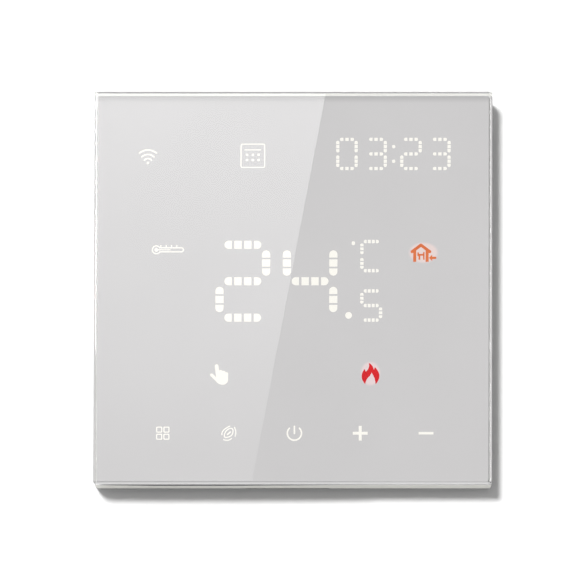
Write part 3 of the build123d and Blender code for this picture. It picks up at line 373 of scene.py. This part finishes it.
film_low, film_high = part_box("printed_film")
label_low, label_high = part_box("insulating_label")
FILM_HALF = film_high.z / MM
LABEL_MIDDLE = (label_low.z + label_high.z) / 2 / MM
LABEL_FRAME = (17.6, 13.6)      # half width and half height of the printed frame
LABEL_MARGIN = 1.6
LABEL_ROW_START = 50.0
LABEL_ROW_PITCH = 2.4
PRINT_GREY = (0.53, 0.521, 0.523)
TOP_SHADE_DEPTH = 1.5
TOP_SHADE = 0.5
SPILL_START = 0.9
SPILL_END = 1.25
SPILL_STRENGTH = 0.55
FLAME_SPILL = (0.36, 0.12, 0.12)
HOME_SPILL = (0.36, 0.15, 0.06)
WARM = (1.0, 0.975, 0.905)
WARM_EDGE = (0.985, 0.965, 0.90)

frame_low, frame_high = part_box("front_frame")
# Painted shade on the frame's front face seen through the glass border: darker along the sides, less dark at
# the top and bottom.
BORDER_SHADE_SIDE = (0.47, 0.466, 0.455)
BORDER_SHADE_END = (0.66, 0.655, 0.64)
BORDER_SHADE_ZONE = (frame_low.y / MM + 0.03, BORDER_SHADE_SIDE, FILM_HALF - 0.1, BORDER_SHADE_END)
finishes = {
    "clear_glass": clear_glass("clear_glass_look"),
    "grey_print": print_film("grey_print_look"),
    "foam_tape": foam("foam_tape_look"),
    "pale_plastic": moulding("pale_plastic_look", (0.80, 0.79, 0.74), border_shade=BORDER_SHADE_ZONE),
    "grey_plastic": moulding("grey_plastic_look", (0.40, 0.40, 0.395), rough=0.5),
    "diffuser": moulding("diffuser_look", (0.86, 0.86, 0.84), rough=0.5, depth=0.004),
    "white_mask": moulding("white_mask_look", (0.84, 0.84, 0.83), rough=0.5),
    "circuit_board": laminate("circuit_board_look", (0.035, 0.19, 0.085)),
    "lamp": lacquer("lamp_look", (0.85, 0.74, 0.25), rough=0.25),
    "spring_steel": metal("spring_steel_look", (0.66, 0.66, 0.65), 0.25, (1.0, 5.0, 1.0)),
    "screw_steel": metal("screw_steel_look", (0.62, 0.63, 0.64), 0.33),
    "black_moulding": moulding("black_moulding_look", (0.025, 0.025, 0.027), rough=0.48, wear=0.05),
    "module_blue": laminate("module_blue_look", (0.02, 0.05, 0.20), copper=0.3, seed=31.0),
    "tin_shield": metal("tin_shield_look", (0.70, 0.70, 0.68), 0.3, (0.15, 1.0, 4.0)),
    "cell_steel": metal("cell_steel_look", (0.64, 0.64, 0.63), 0.24, (0.2, 1.0, 5.0)),
    "sensor_glass": lacquer("sensor_glass_look", (0.35, 0.12, 0.03), rough=0.2, coat=0.8),
    "warm_white_light": lit("warm_white_light_look", WARM, WARM_EDGE, 0.95),
    "orange_light": lit("orange_light_look", (0.72, 0.19, 0.07), (0.66, 0.15, 0.05), 1.0),
    "red_light": lit("red_light_look", (0.70, 0.018, 0.022), (0.60, 0.012, 0.018), 1.0),
    "zinc_sheet": zinc("zinc_sheet_look"),
    "housing_white": moulding("housing_white_look", (0.78, 0.785, 0.78), rough=0.46),
    "label_paper": paper("label_paper_look"),
    "power_laminate": laminate("power_laminate_look", (0.42, 0.27, 0.10), copper=0.2, seed=12.0),
    "gold_contact": metal("gold_contact_look", (0.80, 0.58, 0.24), 0.22),
    "relay_case": moulding("relay_case_look", (0.03, 0.09, 0.30), rough=0.38),
    "ferrite": metal("ferrite_look", (0.10, 0.10, 0.105), 0.5, spots=0.4),
    "coil_tape": lacquer("coil_tape_look", (0.72, 0.52, 0.06), rough=0.3),
    "capacitor_sleeve": lacquer("capacitor_sleeve_look", (0.03, 0.035, 0.05), rough=0.3),
    "film_capacitor": lacquer("film_capacitor_look", (0.70, 0.50, 0.05), rough=0.34),
    "varistor_blue": lacquer("varistor_blue_look", (0.03, 0.12, 0.42), rough=0.28),
    "resistor_grey": lacquer("resistor_grey_look", (0.33, 0.36, 0.33), rough=0.45),
    "terminal_green": moulding("terminal_green_look", (0.03, 0.33, 0.13), rough=0.4),
    "tin_brass": metal("tin_brass_look", (0.70, 0.66, 0.52), 0.3),
}

for node in nodes.values():
    for place in node.material_slots:
        if place.material is not None:
            slot_name = place.material.name.split(".")[0]
            place.material = finishes.get(slot_name, place.material)


# ---------------------------------------------------------------- pieces built here


def rounded_square(half, corner, steps=10):
    """Corner points of a rounded square in x and z, anticlockwise seen from the front."""
    points = []
    for quarter in range(4):
        middle = math.radians(45 + 90 * quarter)
        reach = (half - corner) * math.sqrt(2)
        centre = Vector((math.cos(middle), math.sin(middle))) * reach
        for step in range(steps + 1):
            angle = math.radians(90 * quarter + 90 * step / steps)
            points.append(centre + Vector((math.cos(angle), math.sin(angle))) * corner)
    return points


def lofted(name, rings, body, slot_name):
    """A closed solid through rings of equal count, capped at both ends."""
    made = bmesh.new()
    loops = [[made.verts.new(point) for point in ring] for ring in rings]
    count = len(loops[0])
    for near, far in zip(loops, loops[1:]):
        for index in range(count):
            following = (index + 1) % count
            made.faces.new((near[index], near[following], far[following], far[index]))
    caps = (made.faces.new(reversed(loops[0])), made.faces.new(loops[-1]))
    bmesh.ops.recalc_face_normals(made, faces=made.faces)
    return placed(made, name, body, slot_name, flat=caps)


def placed(made, name, body, slot_name, smooth_angle=25.0, flat=()):
    """Turns a bmesh into a piece that rides on a CAD body with its slot's finish."""
    mesh = bpy.data.meshes.new(name)
    for face in made.faces:
        face.smooth = face not in flat
    limit = math.radians(smooth_angle)
    for edge in made.edges:
        edge.smooth = len(edge.link_faces) == 2 and edge.calc_face_angle(0.0) < limit
    made.to_mesh(mesh)
    made.free()
    piece = bpy.data.objects.new(name, mesh)
    bpy.context.scene.collection.objects.link(piece)
    mesh.materials.append(finishes[slot_name])
    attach(piece, body)
    return piece


GLASS_CORNER = 0.5
LEAST_CORNER = 0.15
GLASS_CHAMFER = 0.35
GLASS_OVERLAP = 0.02
ARRIS = 0.06            # how far the rounding reaches past each end of the chamfer
ARRIS_CUT = 0.02
ARRIS_DROP = 0.012
CAP_MARGIN = 0.2        # the flat cap starts this far inside the chamfer
glass_low, glass_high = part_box("glass_panel")


def glass_cover():
    """The face glass with ground arrises. It reaches a hair into the print, as the two are bonded."""
    half = glass_high.x / MM
    front, back = glass_low.y / MM, glass_high.y / MM + GLASS_OVERLAP
    cap, start, cut = GLASS_CHAMFER + CAP_MARGIN, GLASS_CHAMFER + ARRIS, GLASS_CHAMFER - ARRIS_CUT
    half_profile = ((0.0, cap), (0.0, start), (ARRIS_DROP, cut), (cut, ARRIS_DROP), (start, 0.0))
    profile = [(front + depth, inset) for depth, inset in half_profile]
    profile += [(back - depth, inset) for depth, inset in reversed(half_profile)]
    rings = []
    for depth, inset in profile:
        outline = rounded_square(half - inset, max(GLASS_CORNER - inset, LEAST_CORNER))
        rings.append([Vector((x, depth, z)) * MM for x, z in outline])
    piece = lofted("glass_cover", rings, "front_half", "clear_glass")
    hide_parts("glass_panel")
    return piece


glass_cover()

# (x, thickness, depth): a dark strip of painted shadow in the joint under the glass, thinning to nothing
SEAM_SHADOW_RUN = (
    (-41.6, 0.66, 0.9), (-30.0, 0.75, 1.4), (-14.0, 0.75, 1.35),
    (-6.0, 0.71, 1.1), (4.0, 0.67, 0.9), (10.0, 0.63, 0.75), (15.0, 0.5, 0.5),
)
SEAM_SHADOW_BACK_Z = 42.2
SEAM_SHADOW_START = 0.02
SEAM_SHADOW_ROUND = 0.06


def seam_shadow_strip():
    """A dark strip of painted shadow along the left part of the joint below the print."""
    front = glass_high.y / MM + SEAM_SHADOW_START
    rings = []
    for x, thickness, depth in SEAM_SHADOW_RUN:
        back, low = front + depth, -SEAM_SHADOW_BACK_Z - thickness
        outline = (
            (front, -SEAM_SHADOW_BACK_Z), (front, low + SEAM_SHADOW_ROUND), (front + SEAM_SHADOW_ROUND, low),
            (back - SEAM_SHADOW_ROUND, low), (back, low + SEAM_SHADOW_ROUND), (back, -SEAM_SHADOW_BACK_Z),
        )
        rings.append([Vector((x, y, z)) * MM for y, z in outline])
    return lofted("seam_shadow_strip", rings, "front_half", "foam_tape")


seam_shadow_strip()


# ---------------------------------------------------------------- stage, light and camera


def stage_material(name, colour, strength=0.0):
    """A plain stage finish that is seen from its front only."""
    recipe = Recipe(name)
    solid = recipe.surface(colour, 0.9, recipe.bump((recipe.noise(0.9, 3.0), 0.01, 0.2)))
    clear = recipe.add("ShaderNodeBsdfTransparent")
    side = recipe.add("ShaderNodeNewGeometry")
    mixed = recipe.add("ShaderNodeMixShader")
    recipe.feed(mixed.inputs[0], side.outputs["Backfacing"])
    recipe.feed(mixed.inputs[1], solid.outputs[0])
    recipe.feed(mixed.inputs[2], clear.outputs[0])
    recipe.feed(recipe.output.inputs["Surface"], mixed.outputs[0])
    return recipe.material


def flat_piece(name, corners, material, faces=((0, 1, 2, 3),)):
    mesh = bpy.data.meshes.new(name)
    mesh.from_pydata(corners, [], faces)
    mesh.materials.append(material)
    piece = bpy.data.objects.new(name, mesh)
    bpy.context.scene.collection.objects.link(piece)
    return piece


WALL_REACH = 2.0
WALL_DEPTH = 0.0003
WALL_OPENING = 0.0397       # half of the hole behind the mounting plate
square = ((-1, -1), (1, -1), (1, 1), (-1, 1))
wall_points = [(x * reach, WALL_DEPTH, z * reach) for reach in (WALL_REACH, WALL_OPENING) for x, z in square]
wall_faces = [(side, (side + 1) % 4, (side + 1) % 4 + 4, side + 4) for side in range(4)]
flat_piece("pale_wall", wall_points, stage_material("pale_wall_look", (0.9, 0.9, 0.9)), wall_faces)

FACE_MIDDLE = Vector((0.0, glass_low.y, 0.0))
VIEW_BELOW = math.radians(10.3)
VIEW_SIDE = math.radians(0.84)
VIEW_ROLL = math.radians(0.15)
LENS = 1400.0
SENSOR = 36.0
VIEW_WIDTH = 0.12524
CLIP_END = 100.0
AIM = FACE_MIDDLE + Vector((-0.667, 0.0, -0.678)) * MM

towards_camera = Vector((
    math.sin(VIEW_SIDE) * math.cos(VIEW_BELOW),
    -math.cos(VIEW_SIDE) * math.cos(VIEW_BELOW),
    -math.sin(VIEW_BELOW),
))
camera = bpy.data.objects.new("camera", bpy.data.cameras.new("camera"))
camera.data.lens = LENS
camera.data.sensor_width = SENSOR
camera.data.clip_end = CLIP_END
camera.location = AIM + towards_camera * (VIEW_WIDTH * LENS / SENSOR)
camera.rotation_mode = "QUATERNION"
camera.rotation_quaternion = (-towards_camera).to_track_quat("-Z", "Y") @ Quaternion((0, 0, 1), VIEW_ROLL)
bpy.context.scene.collection.objects.link(camera)
bpy.context.scene.camera = camera


def reflection_card():
    """A slanted light card in front of the face, seen only in its gloss: a window's edge."""
    recipe = Recipe("card_look")
    height = recipe.span(recipe.axis("Z"), CARD_LOW, CARD_HIGH)
    strength = recipe.span(height, 0.0, 1.0, CARD_DIM, CARD_BRIGHT)
    glow = recipe.add("ShaderNodeEmission")
    recipe.feed(glow.inputs["Strength"], strength)
    recipe.feed(recipe.output.inputs["Surface"], glow.outputs[0])
    away = Vector((-towards_camera.x, towards_camera.y, -towards_camera.z))
    shift = away * (CARD_AWAY / abs(away.y))

    corners = [FACE_MIDDLE + Vector((x, 0.0, z)) * MM + shift for x, z in CARD_OUTLINE]
    card = flat_piece("light_card", corners, recipe.material)
    for kind in ("camera", "diffuse", "transmission", "volume_scatter", "shadow"):
        setattr(card, "visible_" + kind, False)
    return card


CARD_AWAY = 0.6
CARD_RISE = CARD_AWAY * math.tan(VIEW_BELOW) / MM
CARD_LOW = CARD_RISE - 43
CARD_HIGH = CARD_RISE + 43
CARD_OUTLINE = ((-90, -62), (-12.4, -62), (10.5, 62), (-90, 62))
CARD_DIM = 1.35
CARD_BRIGHT = 4.3
reflection_card()


def lamp(name, kind, energy, way):
    """A light that shines along a direction."""
    made = bpy.data.objects.new(name, bpy.data.lights.new(name, kind))
    made.data.energy = energy
    made.rotation_mode = "QUATERNION"
    made.rotation_quaternion = way.to_track_quat("-Z", "Y")
    bpy.context.scene.collection.objects.link(made)
    return made


KEY_STRENGTH = 3.0
KEY_ANGLE = math.radians(11.0)
KEY_WAY = Vector((0.265, 1.0, -0.28))
key = lamp("key_light", "SUN", KEY_STRENGTH, KEY_WAY)
key.data.angle = KEY_ANGLE

REAR_STRENGTH = 14.0
REAR_SIZE = 0.9
REAR_PLACE = Vector((0.7, 0.9, 0.8))
rear = lamp("rear_light", "AREA", REAR_STRENGTH, -REAR_PLACE)
rear.data.size = REAR_SIZE
rear.location = REAR_PLACE
rear.visible_camera = False

ROOM_LIGHT = 0.36


def studio_world():
    """White behind everything, with a dimmer white room for light and gloss."""
    world = bpy.data.worlds.new("studio")
    world.use_nodes = True
    tree = world.node_tree
    tree.nodes.clear()
    room, seen = (tree.nodes.new("ShaderNodeBackground") for _ in range(2))
    for background, strength in ((room, ROOM_LIGHT), (seen, 1.0)):
        background.inputs["Color"].default_value = (1.0, 1.0, 1.0, 1.0)
        background.inputs["Strength"].default_value = strength
    path = tree.nodes.new("ShaderNodeLightPath")
    pick = tree.nodes.new("ShaderNodeMixShader")
    air = tree.nodes.new("ShaderNodeOutputWorld")
    tree.links.new(path.outputs["Is Camera Ray"], pick.inputs[0])
    tree.links.new(room.outputs[0], pick.inputs[1])
    tree.links.new(seen.outputs[0], pick.inputs[2])
    tree.links.new(pick.outputs[0], air.inputs["Surface"])
    return world


bpy.context.scene.world = studio_world()
bpy.context.scene.view_settings.view_transform = "Standard"
